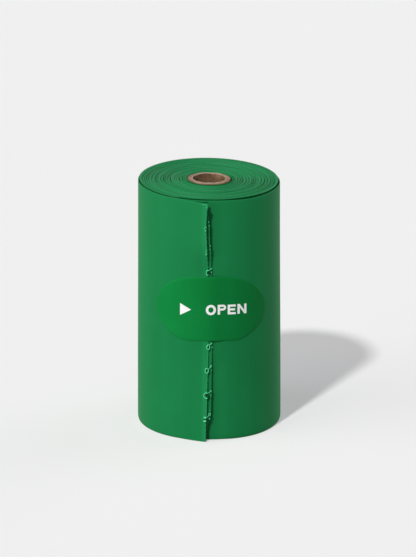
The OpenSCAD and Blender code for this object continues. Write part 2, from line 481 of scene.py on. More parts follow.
# One turn across its width on an end: fractions of the width, and the share of the groove's depth there.
CROWN = (
    (0.0, 1.0), (0.1, 0.62), (0.22, 0.26), (0.36, 0.06),
    (0.52, 0.0), (0.66, 0.07), (0.79, 0.28), (0.91, 0.64),
)
GROOVE_LEAST, GROOVE_SLOW, GROOVE_QUICK = 0.1312, 0.1312, 0.082
GROOVE_SPAN = 2.7
GROOVE_FULL_W = 0.5
GROOVE_SHARES = (0.35, 1.25)
LEVEL, LEVEL_SLOW, LEVEL_QUICK = 0.10, 0.09, 0.03
LEVEL_SPAN = 3.3
TILT, TILT_SPAN = 0.16, 2.3
FOLD, FOLD_RATE = 0.014, 1.3
RAISED_AT_TUBE = (0.25, HOLE_R + 0.3, 1.1)
OUTERMOST_FADE = 0.1
OUTERMOST_FROM = 0.6
START_TAB = (0.42, 0.1, 0.5)
START_TAB_FADE = 0.05
TOP_SETBACK = 0.02

# The lip at the rim of an end reaches over the gap behind the outer turn.
LIP_REACH = 0.30
LIP_T = 0.08
LIP_STEPS = ((LIP_REACH, 0.0), (LIP_REACH, LIP_T), (-0.10, LIP_T + 0.10))
LIP_EVEN, LIP_SWING = 0.8, 0.2
LIP_CLEAR = 0.07
RIM_LEVEL, RIM_LEVEL_SWING = 0.07, 0.03

# The wall that backs the outer turn between the two gaps, and the hole for the tube.
BACK_CLEAR = 0.03
BACK_STEP = 0.3
BACK_HEIGHTS = (54, 48, 43, 38, 34, 30, 25, 20, 14, 8)
HOLE_TIGHT = 0.02
HOLE_DEPTH = 0.3
TOP_SEED, FOOT_SEED = 50, 80


class Shell:
    """Points and faces of a solid that is put together ring by ring."""

    def __init__(self):
        self.points, self.faces = [], []

    def add(self, flat, z):
        """New points, from their places as seen from above and their heights. It returns their numbers."""
        start = len(self.points)
        self.points.extend(map(tuple, np.column_stack([flat, np.broadcast_to(z, len(flat))])))
        return list(range(start, len(self.points)))

    def wall(self, upper, lower, outside=True):
        """A wall between two closed rings."""
        for k in range(len(upper)):
            n = (k + 1) % len(upper)
            quad = (lower[k], lower[n], upper[n], upper[k])
            self.faces.append(quad if outside else quad[::-1])


def inner_slack(theta):
    """How far the first turns stand off the tube, on its right."""
    return swell(np.degrees(wrapped(theta)), INNER_SLACK)


def turn_boundaries():
    """Angle and radius of the boundary between turns, along the whole spiral from the tube outwards."""
    total = TURNS + 1
    count = int(round(total * TURN_COLUMNS)) + 1
    at = np.arange(count) / TURN_COLUMNS
    slow = wander(41, 26, slowest=1)(at * 2 * math.pi / SLOW_SPAN)
    quick = wander(42, 8, slowest=3)(at * 2 * math.pi / QUICK_SPAN)
    growth = np.maximum(1 + SLOW_SWING * slow + QUICK_SWING * quick, THINNEST)
    growth = growth * ease(at / FIRST_SPAN + FIRST_SHARE)
    growth[at < 1] = 0
    theta = ROOT + (at - total) * 2 * math.pi
    last = at >= total - 1
    end_r = ROLL_R - WEB_T - LOOSE_GAP
    outer = winding_r(np.where(last, theta, ROOT)) - WEB_T - LOOSE_GAP
    climbed = np.cumsum(growth)
    r = HOLE_R + (end_r - WEB_T - HOLE_R) * climbed / climbed[np.argmax(last)]
    r = np.where(at >= 1, np.maximum(r, HOLE_R + FIRST_STEP), r)
    r = r + inner_slack(theta) * bump(at, 0, INNER_SLACK_TURNS)
    return theta, np.where(last, outer, r)


def end_rows(r, seed):
    """The rows of points across every turn on one end: their radii, and how far below the end they lie."""
    count = len(r) - TURN_COLUMNS
    fractions, depths = np.array(CROWN).T
    inner = r[:count]
    width = r[TURN_COLUMNS:] - inner
    radii = inner[:, None] + width[:, None] * fractions
    turn = np.arange(count) / TURN_COLUMNS
    at = turn * 2 * math.pi
    slow = 0.5 + 0.5 * wander(seed, 8)(at / GROOVE_SPAN)
    quick = 0.5 + 0.5 * wander(seed + 1, 5)(at)
    groove = GROOVE_LEAST + GROOVE_SLOW * slow + GROOVE_QUICK * quick
    groove = groove * np.clip(width / GROOVE_FULL_W, *GROOVE_SHARES)
    level = LEVEL + LEVEL_SLOW * wander(seed + 2, 9)(at / LEVEL_SPAN) + LEVEL_QUICK * wander(seed + 3, 7)(at)
    tilt = TILT * wander(seed + 4, 8)(at / TILT_SPAN) * width
    folds = np.stack([wander(seed + 10 + k, 6)(at * FOLD_RATE) for k in range(len(CROWN))], axis=-1)
    last_turn = ease((turn + 1 - count / TURN_COLUMNS) / OUTERMOST_FADE)
    outermost = last_turn[:, None] * (fractions > OUTERMOST_FROM)
    down = level[:, None] + groove[:, None] * depths * (1 - outermost)
    down = down + tilt[:, None] * (fractions - 0.5) + FOLD * folds
    return radii, np.maximum(down, 0.0) - swell(inner, RAISED_AT_TUBE)[:, None]


def start_tab(count):
    """How far the film's inner end stands up beside the tube."""
    fractions = np.array(CROWN)[:, 0]
    near = 1 - ease(np.arange(count) / TURN_COLUMNS / START_TAB_FADE)
    return near[:, None] * swell(fractions, START_TAB)


def rim_lips(shell, theta, r, seed, height):
    """The lip at the rim of one end, as rings from its edge to under it."""
    down = RIM_LEVEL + RIM_LEVEL_SWING * wander(seed + 30, 6)(theta)
    uneven = LIP_EVEN + LIP_SWING * wander(seed + 31, 5)(theta)
    rings = []
    for reach, under in LIP_STEPS:
        z = height(down + under)
        lip_r = np.minimum(r + reach * uneven, side_r(theta, z) + RIM_PULL - LIP_CLEAR)
        rings.append(shell.add(outward(theta) * lip_r[:, None], z))
    return rings


def turn_end(shell, theta, r, seed, top):
    """One end of the turns: the spiral's face, its lip at the rim and its step down at the hole."""
    count, rows = len(theta) - TURN_COLUMNS, len(CROWN)

    def height(depth):
        return FILM_W - depth if top else depth

    def face(*corners):
        shell.faces.append(corners[::-1] if top else corners)

    radii, down = end_rows(r, seed)
    down = down - start_tab(count) + TOP_SETBACK if top else np.maximum(down, 0.0)
    flat = outward(theta[:count])[:, None, :] * radii[:, :, None]
    grid = shell.add(flat.reshape(-1, 2), height(down.reshape(-1)))
    lips = rim_lips(shell, theta[count:], r[count:], seed, height)

    def spot(k, row):
        """A point of the face. A turn's last row is the next turn's first row, or the rim."""
        if row < rows:
            return grid[k * rows + row]
        k += TURN_COLUMNS
        return grid[k * rows] if k < count else lips[0][k - count]

    for k in range(count - 1):
        for row in range(rows):
            face(spot(k, row), spot(k + 1, row), spot(k + 1, row + 1), spot(k, row + 1))
    hole_angle = theta[:TURN_COLUMNS]
    hole_r = HOLE_R - HOLE_TIGHT + inner_slack(hole_angle)
    hole = shell.add(outward(hole_angle) * hole_r[:, None], height(HOLE_DEPTH))
    for k in range(TURN_COLUMNS):
        face(hole[k], hole[(k + 1) % TURN_COLUMNS], spot(k + 1, 0), spot(k, 0))
    face(*(spot(0, row) for row in range(rows, -1, -1)), hole[0])
    face(*(spot(count - 1, row) for row in range(rows + 1)), lips[0][0])
    return lips, hole


def wound_turns(material):
    """The turns that show on both ends, as one solid with a hole for the tube."""
    theta, r = turn_boundaries()
    shell = Shell()
    top_lips, top_hole = turn_end(shell, theta, r, TOP_SEED, True)
    foot_lips, foot_hole = turn_end(shell, theta, r, FOOT_SEED, False)
    shell.wall(top_hole, foot_hole, outside=False)
    for step in (0, 1):
        shell.wall(top_lips[step], top_lips[step + 1])
        shell.wall(foot_lips[step + 1], foot_lips[step])
    top, foot = FILM_W - LOOSE_DEPTH, LOOSE_DEPTH
    backed = [top - BACK_STEP, *BACK_HEIGHTS, foot + BACK_STEP]
    heights = [(top + BACK_STEP, False), *((z, True) for z in backed), (foot - BACK_STEP, False)]
    rim_angle, rim_r = theta[-TURN_COLUMNS:], r[-TURN_COLUMNS:]
    upper = top_lips[-1]
    for z, pressed in heights:
        inside = side_r(rim_angle, z) - TURN_T - BACK_CLEAR
        ring_r = inside if pressed else np.minimum(rim_r, inside)
        lower = shell.add(outward(rim_angle) * ring_r[:, None], z)
        shell.wall(upper, lower)
        upper = lower
    shell.wall(upper, foot_lips[-1])
    return mesh_piece("wound_turns", shell.points, shell.faces, material, crease=60)


# Torn ties

# A ply: its radius at the root, its length, its share of the spring and its torn line.
OUTER_PLY = (ROLL_R, FREE_LEN, 1.0, outer_line)
UNDER_PLY = (ROLL_R - UNDER_DROP, UNDER_LEN, UNDER_SHARE, under_line)
WEB_EDGE = FILM_W - RIM_DROP


def edge_frame(z, ply, back=0.0):
    """A ply's torn edge at a height: its point, the way along the film and the way outward."""
    r, length, share, line = ply
    s = np.array([length + float(line(np.array([z]))[0]) - back])
    place, bearing, height = tail_point(r, s, np.array([z]), share)
    a = float(bearing[0])
    origin = Vector((*place[0], float(height[0])))
    return origin, Vector((math.cos(a), math.sin(a), 0)), Vector((math.sin(a), -math.cos(a), 0))


def placed(frame_at, local):
    """Points given as right of an edge, out from it and up, put in their places."""
    origin, way, out = frame_at
    return [origin + p[0] * way + p[1] * out + Vector((0, 0, p[2])) for p in local]


def smooth_path(corners, steps=6):
    """A rounded line through corners."""
    pts = [Vector(c) for c in corners]
    pts = [2 * pts[0] - pts[1], *pts, 2 * pts[-1] - pts[-2]]
    out = []
    for i in range(1, len(pts) - 2):
        a, b, c, d = pts[i - 1:i + 3]
        for k in range(steps):
            t = k / steps
            out.append(0.5 * (2 * b + (c - a) * t + (2 * a - 5 * b + 4 * c - d) * t * t
                              + (3 * b - a - 3 * c + d) * t ** 3))
    return out + [pts[-2]]


# Each tie: its height, the beads of its curl on the outer ply, the dark dishes of painted shade inside that
# curl, and the tufts on the under ply. A bead or a tuft is a size and points, each to the right of the torn
# edge and above the tie's height. A shade dish is a middle, a half width and a half height.
TIES = (
    (TIE_HEIGHTS[0],
     ((0.28, (-0.62, 0.44), (-0.25, 0.50), (0.10, 0.40)),
      (0.28, (-0.66, -0.40), (-0.25, -0.46), (0.02, -0.40))),
     ((-0.25, 0.02, 0.42, 0.10),),
     ((0.12, (0.05, 0.68), (-0.25, 0.85), (-0.30, 1.15), (-0.02, 1.38), (0.20, 1.15), (0.05, 0.68)),
      (0.16, (-0.02, -0.10)),
      (0.10, (0.0, 2.1)))),
    (TIE_HEIGHTS[1],
     ((0.15, (0.25, 0.62), (-0.25, 0.68), (-0.66, 0.26), (-0.66, -0.31), (-0.25, -0.73), (0.20, -0.62)),),
     ((0.10, 0.05, 0.36, 0.45),),
     ((0.18, (0.0, 1.0)),
      (0.12, (-0.05, 0.2), (-0.05, -0.25)))),
    (TIE_HEIGHTS[2],
     ((0.16, (0.02, 0.58), (-0.38, 0.60), (-0.62, 0.10), (-0.50, -0.48), (-0.14, -0.58), (0.12, -0.1),
       (0.02, 0.58)),),
     ((-0.24, 0.05, 0.22, 0.36),),
     ((0.18, (-0.1, 1.25), (-0.45, 0.95)),
      (0.12, (-0.1, 0.0)))),
    (TIE_HEIGHTS[3],
     ((0.15, (0.18, 0.52), (-0.18, 0.60), (-0.44, 0.08), (-0.32, -0.48), (0.02, -0.56), (0.24, -0.05),
       (0.18, 0.52)),),
     ((-0.08, 0.03, 0.18, 0.32),),
     ((0.17, (-0.02, 1.05), (-0.4, 0.8)),
      (0.12, (0.0, -0.12)))),
    (TIE_HEIGHTS[4],
     ((0.16, (0.10, 0.57), (-0.45, 0.45), (-0.52, 0.0), (-0.45, -0.52), (-0.05, -0.70)),),
     ((0.08, 0.0, 0.36, 0.42),),
     ((0.17, (-0.1, 0.9)),
      (0.11, (-0.1, 0.26), (-0.1, -0.35)))),
    (TIE_HEIGHTS[5],
     ((0.20, (-0.14, -0.5)),
      (0.13, (-0.30, -0.1), (-0.10, 0.3)),
      (0.14, (-0.12, 0.6))),
     (),
     ((0.15, (-0.05, 1.55)),
      (0.12, (-0.05, 0.6)))),
    (TIE_HEIGHTS[6],
     ((0.19, (-0.10, -0.5)),
      (0.12, (-0.40, -0.1), (-0.20, 0.2)),
      (0.14, (-0.08, 0.45))),
     (),
     ((0.13, (-0.10, 1.55)),
      (0.09, (-0.10, 0.6)))),
)

# How far curls, tufts and shade dishes stand out from the film, and the strand that joins a curl to its tuft.
CURL_OUT = 0.16
TUFT_OUT = 0.10
TUFT_SPRUNG_OUT = 0.45
STRAND_R = 0.085
STRAND_FROM = (0.08, 0.14, 0.55)
STRAND_TO = (-0.05, 0.08, 0.95)
STRAND_BOW = 0.05
LUMP_STRETCH = 1.25
LUMP_TILT = np.linspace(-1.4, 1.4, 7)
BEAD_ENDS = 0.10
BEAD_TIP = 0.12
DISH_OUT, DISH_FLOOR, DISH_BACK = 0.10, 0.06, 0.0
DISH_STEPS = 16

# The pale bead on the free end's top edge, as lengths back from the torn edge, and the tuft at its corner.
PALE_EDGE_LOW = 0.05
PALE_EDGE_BACK = np.linspace(1.5, 0.03, 12)
PALE_EDGE_R = np.linspace(0.03, 0.065, 12)
CORNER_TUFT_Z = 60.85
CORNER_TUFT_R = 0.15
CORNER_TUFT_AT = (-0.16, 0.0)
CORNER_TUFT_OUT = 0.06

# The rolled lines along the torn edges and the top edge.
ROLLED_FROM, ROLLED_STEP = 0.25, 0.25
ROLLED_END = 0.05
ROLLED_LABEL_GAP = 0.2
OUTER_ROLL, UNDER_ROLL = 0.10, 0.07
ROLLED_INSET = 0.45 * PLY_T
TOP_ROLL_LOW = 0.03
TOP_ROLL_INSET = 0.4 * PLY_T
TOP_ROLL_BACK = np.linspace(FREE_LEN - 1.5, 0.02, 30)
TOP_ROLL_R = np.linspace(0.03, 0.08, 30)


def bead(at, size, corners, out):
    """A bead through points of a tie, thinner at its ends, or a single lump."""
    spots = placed(at, [(x, out, z) for x, z in corners])
    if len(spots) == 1:
        path = [spots[0] + Vector((0, 0, LUMP_STRETCH * size * math.sin(a))) for a in LUMP_TILT]
        return bead_mesh(path, [size * math.cos(a) for a in LUMP_TILT])
    path = smooth_path(spots, 5)
    t = np.linspace(0, 1, len(path))
    ends = np.sqrt(np.clip(np.minimum(t, 1 - t) / BEAD_ENDS, BEAD_TIP, 1))
    return bead_mesh(path, (size * ends).tolist())


def shade_dish(at, x, z, half_width, half_height):
    """A shallow dark dish: painted shade where a curl's hollow lies."""
    angle = np.arange(DISH_STEPS) * 2 * math.pi / DISH_STEPS
    rim = [(x + half_width * math.cos(a), DISH_OUT, z + half_height * math.sin(a)) for a in angle]
    points = placed(at, rim + [(x, DISH_FLOOR, z), (x, DISH_BACK, z)])
    faces = []
    for i in range(DISH_STEPS):
        n = (i + 1) % DISH_STEPS
        faces += [(i, n, DISH_STEPS), (n, i, DISH_STEPS + 1)]
    return points, faces


def strand(at_outer, at_under):
    """The stretched film between a curl and the tuft behind it."""
    start, end = placed(at_outer, [STRAND_FROM])[0], placed(at_under, [STRAND_TO])[0]
    path = smooth_path([start, start.lerp(end, 0.5) + STRAND_BOW * at_outer[2], end])
    return bead_mesh(path, [STRAND_R] * len(path))


def torn_ties(pale_film, curl_shade_film):
    """The curled ends of the torn ties, and dark dishes of painted shade inside the curls."""
    pale, dark = [], []
    for height, curls, shade_dishes, tufts in TIES:
        at_outer, at_under = edge_frame(height, OUTER_PLY), edge_frame(height, UNDER_PLY)
        pale += [bead(at_outer, size, corners, CURL_OUT) for size, *corners in curls]
        sprung = float(spring(np.array(height))) if height > LABEL_Z else 0.0
        tuft_out = TUFT_OUT + TUFT_SPRUNG_OUT * sprung
        pale += [bead(at_under, size, corners, tuft_out) for size, *corners in tufts]
        dark += [shade_dish(at_outer, *dish) for dish in shade_dishes]
        if shade_dishes:
            pale.append(strand(at_outer, at_under))
    top_edge = [edge_frame(WEB_EDGE - PALE_EDGE_LOW, OUTER_PLY, float(back))[0] for back in PALE_EDGE_BACK]
    pale.append(bead_mesh(top_edge, PALE_EDGE_R.tolist()))
    pale.append(bead(edge_frame(CORNER_TUFT_Z, OUTER_PLY), CORNER_TUFT_R, [CORNER_TUFT_AT], CORNER_TUFT_OUT))
    return (mesh_piece("torn_ties", *joined(pale), pale_film, crease=70),
            mesh_piece("tie_shade_dishes", *joined(dark), curl_shade_film, crease=70))


def film_edges(material):
    """The torn edges of both plies and the free end's top edge, each a fine rolled line."""
    parts = []
    below = (ROLLED_FROM, LABEL_LOW - ROLLED_LABEL_GAP)
    above = (LABEL_HIGH + ROLLED_LABEL_GAP, WEB_EDGE - ROLLED_END)
    for low, high in (below, above):
        for ply, size in ((OUTER_PLY, OUTER_ROLL), (UNDER_PLY, UNDER_ROLL)):
            path = []
            for z in np.arange(low, high, ROLLED_STEP):
                origin, _, out = edge_frame(float(z), ply)
                path.append(origin - out * ROLLED_INSET)
            parts.append(bead_mesh(path, [size] * len(path), sides=6))
    path = []
    for back in TOP_ROLL_BACK:
        origin, _, out = edge_frame(WEB_EDGE - TOP_ROLL_LOW, OUTER_PLY, float(back))
        path.append(origin - out * TOP_ROLL_INSET)
    parts.append(bead_mesh(path, TOP_ROLL_R.tolist(), sides=6))
    return mesh_piece("film_edges", *joined(parts), material, crease=70)


# Label and print

# The label's lower edge is fuller at two places: by how much of half its height, where along it and how wide.
LOW_EDGE_SWELLS = ((0.074, 7.7, 3.0), (0.042, -7.6, 2.6))

# Rows across the label, as shares of its half height: close ones at both rims, even ones between.
LABEL_ROWS = ((-1, -0.996, -0.985), (-0.965, 0.965, 28), (0.985, 0.996, 1))
LABEL_TIP_STEPS = 40
LABEL_STRAIGHT_STEPS = 30

# Its soft rim: how far the face falls off there, and over what width.
ROUND_OFF = 0.085
ROUND_OVER = 0.30


def skin_r(phi, z):
    """Radius of the surface that the label lies on."""
    free_edge = FREE_LEN / ROLL_R + ROOT
    down = ease((phi - free_edge) / (LABEL_RAMP / ROLL_R))
    theta = np.where(phi > ROOT, phi - 2 * math.pi, phi)
    under = winding_r(theta) + slackness(phi, z)
    over = np.where(phi > ROOT, ROLL_R, under)
    return np.where(phi <= free_edge, over, over + (under - over) * down)


def on_label(u, z, lift):
    """A point over the label, by the distance along the label from its middle, and its height there."""
    phi = LABEL_TURN + u / ROLL_R
    z = z - LABEL_SLOPE * u - LABEL_DROOP * u * u
    r = skin_r(phi, z) + LABEL_CLEAR + lift
    return np.concatenate([outward(phi) * r[..., None], z[..., None]], axis=-1)


def label_skin(material):
    """The label: long rounded ends and a soft rim, lying on the skin of the roll right behind it."""
    tip = np.radians(np.linspace(3, 90, LABEL_TIP_STEPS))
    left, right = (length * (1 - np.cos(tip)) for length in (LEFT_END, RIGHT_END))
    straight = np.linspace(LEFT_END, LABEL_LEN - RIGHT_END, LABEL_STRAIGHT_STEPS)[1:-1]
    u = np.concatenate([left, straight, LABEL_LEN - right[::-1]])
    half = LABEL_H / 2 * np.concatenate([np.sin(tip), np.ones(len(straight)), np.sin(tip)[::-1]])
    from_end = np.minimum(u, LABEL_LEN - u)
    u = u - LABEL_LEN / 2
    low_half = half + LABEL_H / 2 * sum(swell(u, shape) for shape in LOW_EDGE_SWELLS)
    first, middle, last = LABEL_ROWS
    across = np.concatenate([first, np.linspace(*middle), last])[:, None]
    z = LABEL_Z + np.where(across < 0, low_half, half) * across
    from_rim = np.minimum((1 - np.abs(across)) * half, from_end)
    round_off = ROUND_OFF * np.clip(1 - from_rim / ROUND_OVER, 0, 1) ** 2
    u = np.broadcast_to(u, z.shape)
    outer = on_label(u, z, LABEL_T - round_off)
    inner = on_label(u, z, np.zeros(z.shape))
    points, faces = sheet_mesh(outer, inner)
    return mesh_piece("label_skin", points, faces, material)


# The print on the label, measured across from the label's middle and up from the foot of the roll. A
# letter's bars lie a HAIR apart, so that each is a closed solid of its own.
INK_T = 0.02
INK_CLEAR = 0.002
ARROW_LEFT, ARROW_RIGHT = -7.7, -4.92
ARROW_LOW, ARROW_HIGH, ARROW_TIP = 32.39, 35.44, 33.93
ARROW_BLUNT = 0.01
LETTER_H = 2.50
LETTER_LOW = 32.73
STROKE = 0.60
THIN_STROKE = 0.53
ROUND_OVERSHOOT = 0.06
BOWL_SHARE = 0.6
MIDDLE_BAR_SHARE = 0.93
DIAGONAL_SHARE = 1.45
HAIR = 0.004
INK_STEP = 0.25


def slant(x0, x1, left, right):
    """A bar between two upright lines, from a low-high pair on the left to one on the right."""
    columns = max(2, int(math.ceil((x1 - x0) / INK_STEP)) + 1)
    t = np.linspace(0, 1, columns)
    x = x0 + (x1 - x0) * t
    low = left[0] + (right[0] - left[0]) * t
    high = left[1] + (right[1] - left[1]) * t
    return np.array([np.column_stack([x, low]), np.column_stack([x, high])])


def bar(x0, low, x1, high):
    """An upright or a level bar."""
    return slant(x0, x1, (low, high), (low, high))


def ring(cx, cy, rx, ry, stroke, start=0.0, end=2 * math.pi - HAIR, steps=56):
    """A round stroke, or a part of one."""
    a = np.linspace(start, end, steps)
    inner = np.column_stack([cx + (rx - stroke) * np.cos(a), cy + (ry - stroke) * np.sin(a)])
    outer = np.column_stack([cx + rx * np.cos(a), cy + ry * np.sin(a)])
    return np.array([outer, inner])


def letter_o(x, low, width, height):
    return [ring(x + width / 2, low + height / 2, width / 2, height / 2 + ROUND_OVERSHOOT, STROKE)]


def letter_p(x, low, width, height):
    bowl = height * BOWL_SHARE
    mid = low + height - bowl / 2
    turn = x + width - bowl / 2
    top = low + height
    return [
        bar(x, low, x + STROKE, top),
        bar(x + STROKE + HAIR, top - THIN_STROKE, turn, top),
        bar(x + STROKE + HAIR, top - bowl, turn, top - bowl + THIN_STROKE),
        ring(turn + HAIR, mid, bowl / 2, bowl / 2, THIN_STROKE, -math.pi / 2, math.pi / 2, 24),
    ]


def letter_e(x, low, width, height):
    top, mid = low + height, low + height / 2
    return [
        bar(x, low, x + STROKE, top),
        bar(x + STROKE + HAIR, top - THIN_STROKE, x + width, top),
        bar(x + STROKE + HAIR, mid - THIN_STROKE / 2, x + width * MIDDLE_BAR_SHARE, mid + THIN_STROKE / 2),
        bar(x + STROKE + HAIR, low, x + width, low + THIN_STROKE),
    ]


def letter_n(x, low, width, height):
    top, tall = low + height, STROKE * DIAGONAL_SHARE
    return [
        bar(x, low, x + STROKE, top),
        bar(x + width - STROKE, low, x + width, top),
        slant(x + STROKE + HAIR, x + width - STROKE - HAIR, (top - tall, top), (low, low + tall)),
    ]


# A letter, where it starts, its width and how far it is set up or down.
WORD = (
    (letter_o, -1.31, 2.46, 0.0),
    (letter_p, 1.56, 2.10, 0.0),
    (letter_e, 4.08, 2.02, -0.06),
    (letter_n, 6.56, 2.38, 0.0),
)


def printed(grids):
    """Ink of a few grids, as thin closed solids on the label."""
    parts = []
    for grid in grids:
        u, z = grid[..., 0], grid[..., 1]
        face = on_label(u, z, np.full(u.shape, LABEL_T + INK_T))
        back = on_label(u, z, np.full(u.shape, LABEL_T + INK_CLEAR))
        parts.append(sheet_mesh(face, back))
    return joined(parts)


def print_word(material):
    grids = [g for letter, x, width, up in WORD for g in letter(x, LETTER_LOW + up, width, LETTER_H)]
    return mesh_piece("print_word", *printed(grids), material, crease=30)


def print_arrow(material):
    tip = (ARROW_TIP - ARROW_BLUNT, ARROW_TIP + ARROW_BLUNT)
    arrow = slant(ARROW_LEFT, ARROW_RIGHT, (ARROW_LOW, ARROW_HIGH), tip)
    return mesh_piece("print_arrow", *printed([arrow]), material, crease=30)


# Paperboard tube

TUBE_IN = TUBE_R - TUBE_WALL
TUBE_JOINT = TUBE_IN + LINER_T
CUT_DEPTH = 1.2
SOFT_OUT = 0.14
SOFT_IN = 0.06
TUBE_COLUMNS = 144
TUBE_WALL_ROWS = np.linspace(TUBE_LEN - 4, 4, 9)
CUT_NEAR = 0.5
CUT_RAG = 0.012
CUT_DROP, CUT_DROP_SWING, CUT_DROP_FUZZ = 0.04, 0.035, 0.012
OVAL_SHAPE = (TUBE_OVAL, 30, 58)

# The cut end from the outside in: the board's edge, the dip at the joint with the liner, the liner's edge.
# Each point is a radius and a height from the end.
CUT_END = (
    (TUBE_R, -CUT_DEPTH), (TUBE_R, -SOFT_OUT * 2), (TUBE_R - SOFT_OUT * 0.4, -SOFT_OUT * 0.7),
    (TUBE_R - SOFT_OUT, -0.02), (TUBE_R - 0.35, 0.0), (TUBE_R - 0.6, -0.02),
    (TUBE_JOINT + 0.14, 0.0), (TUBE_JOINT + 0.05, -0.05), (TUBE_JOINT, -0.13), (TUBE_JOINT - 0.05, -0.06),
    (TUBE_JOINT - 0.13, -0.01), (TUBE_IN + SOFT_IN, -0.01), (TUBE_IN + SOFT_IN * 0.4, -SOFT_IN * 0.6),
    (TUBE_IN, -SOFT_IN * 2), (TUBE_IN, -CUT_DEPTH),
)


def paperboard_tube(material):
    """A straight-cut tube of board with a paler liner, soft cut edges and a top pressed a little oval."""
    profile = [(r, TUBE_LEN + d) for r, d in CUT_END]
    profile += [(TUBE_IN, z) for z in TUBE_WALL_ROWS]
    profile += [(r, -d) for r, d in reversed(CUT_END)]
    profile += [(TUBE_R, z) for z in TUBE_WALL_ROWS[::-1]]
    angle = np.arange(TUBE_COLUMNS) / TUBE_COLUMNS * 2 * math.pi
    rag = [wander(90 + k, 12, slowest=3 + k % 3)(angle) for k in range(4)]
    points = []
    for i, (r, z) in enumerate(profile):
        near_cut = 1.0 if min(z, TUBE_LEN - z) < CUT_NEAR else 0.0
        ragged_r = r + CUT_RAG * near_cut * rag[i % 4]
        drop = (CUT_DROP + CUT_DROP_SWING * rag[0] + CUT_DROP_FUZZ * rag[1 + i % 3]) * near_cut
        height = z - drop if z > TUBE_LEN / 2 else z + drop
        oval = np.array([1.0, 1 - float(rise(z, OVAL_SHAPE))])
        points.extend(map(tuple, np.column_stack([outward(angle) * oval * ragged_r[:, None], height])))
    faces = strip_faces(0, len(profile), TUBE_COLUMNS, closed_rows=True, closed_columns=True)
    return mesh_piece("paperboard_tube", points, faces, material, crease=50)


# Finishes


class Wire:
    """A number from a node's socket. Sums on it become Math nodes."""

    def __init__(self, finish, socket):
        self.finish, self.socket = finish, socket

    def sum(self, operation, *terms):
        return self.finish.node("ShaderNodeMath", {"operation": operation}, *terms)[0]

    def __add__(self, other):
        return self.sum("ADD", self, other)

    def __rsub__(self, other):
        return self.sum("SUBTRACT", other, self)

    def __mul__(self, other):
        return self.sum("MULTIPLY", self, other)

    __radd__, __rmul__ = __add__, __mul__

    def between(self, low, high):
        """0 below low, 1 above high, straight between."""
        return self.finish.node("ShaderNodeMapRange", {"clamp": True}, self, low, high, 0.0, 1.0)[0]

    def within(self, growing, fading):
        """A field that grows over one stretch and fades over another."""
        return self.between(*growing) * (1 - self.between(*fading))

    def most(self, other):
        return self.sum("MAXIMUM", self, other)


class Finish:
    """A material or the world, and its nodes."""

    def __init__(self, owner):
        owner.use_nodes = True
        self.tree = owner.node_tree
        self.tree.nodes.clear()

    def node(self, kind, settings=None, *values, **named):
        """A node of a kind. Settings come first, then what goes into its sockets, by order or by name."""
        made = self.tree.nodes.new(kind)
        for name, value in (settings or {}).items():
            setattr(made, name, value)
        for key, value in [*enumerate(values), *((k.replace("_", " "), v) for k, v in named.items())]:
            socket = made.inputs[key]
            value = value.socket if isinstance(value, Wire) else value
            if isinstance(value, bpy.types.NodeSocket):
                self.tree.links.new(value, socket)
            elif value is not None:
                socket.default_value = value
        return [Wire(self, out) for out in made.outputs]

    def mix(self, factor, first, second):
        """A colour between two colours."""
        made = self.tree.nodes.new("ShaderNodeMix")
        made.data_type = "RGBA"
        for name, value in (("Factor_Float", factor), ("A_Color", first), ("B_Color", second)):
            socket = next(s for s in made.inputs if s.identifier == name)
            if isinstance(value, Wire):
                self.tree.links.new(value.socket, socket)
            else:
                socket.default_value = value
        return Wire(self, next(s for s in made.outputs if s.identifier == "Result_Color"))

    def place(self):
        """Where a point is on the piece, in metres."""
        return self.node("ShaderNodeTexCoord")[3]

    def stretch(self, vector, scale):
        return self.node("ShaderNodeVectorMath", {"operation": "MULTIPLY"}, vector, scale)[0]

    def noise(self, vector, scale, detail=2.0, roughness=0.5):
        values = {"Vector": vector, "Scale": scale, "Detail": detail, "Roughness": roughness}
        return self.node("ShaderNodeTexNoise", {}, **values)[0]

    def facing_up(self, low, high):
        """1 on what faces up or down, 0 on upright walls."""
        up = self.parts(self.node("ShaderNodeNewGeometry")[1])[2]
        return up.sum("ABSOLUTE", up).between(low, high)

    def parts(self, vector):
        return self.node("ShaderNodeSeparateXYZ", {}, vector)

    def length(self, x, y):
        joined_up = self.node("ShaderNodeCombineXYZ", {}, x, y, 0.0)[0]
        return self.node("ShaderNodeVectorMath", {"operation": "LENGTH"}, joined_up)[1]

    def vector(self, x, y, z):
        return self.node("ShaderNodeCombineXYZ", {}, x, y, z)[0]

    def bump(self, height, distance, strength=1.0):
        return self.node("ShaderNodeBump", {}, Strength=strength, Distance=distance, Height=height)[0]

    def surface(self, **sockets):
        shader = self.node("ShaderNodeBsdfPrincipled", {}, **sockets)[0]
        self.node("ShaderNodeOutputMaterial", {}, Surface=shader)


def finish_named(name):
    material = bpy.data.materials.new(name)
    return material, Finish(material)


# Colours are linear red, green and blue, with a 1 for solid.
FILM_GREEN = (0.0078, 0.1970, 0.0565, 1)
FILM_LIGHT = (0.0125, 0.2270, 0.0705, 1)
FILM_DEEP = (0.0058, 0.1660, 0.0450, 1)
# The next green is a painted highlight beside the free end's torn edge.
EDGE_HIGHLIGHT_GREEN = (0.0140, 0.2600, 0.0850, 1)
# The two end greens below carry a painted sheen: they are whiter than the side's.
END_SHEEN_LIGHT = (0.0190, 0.2200, 0.0790, 1)
END_SHEEN_DEEP = (0.0085, 0.1480, 0.0480, 1)
FILM_SHADE = (0.0008, 0.0400, 0.0080, 1)
TIE_GREEN, TIE_PALE = (0.045, 0.50, 0.20, 1), (0.12, 0.68, 0.34, 1)
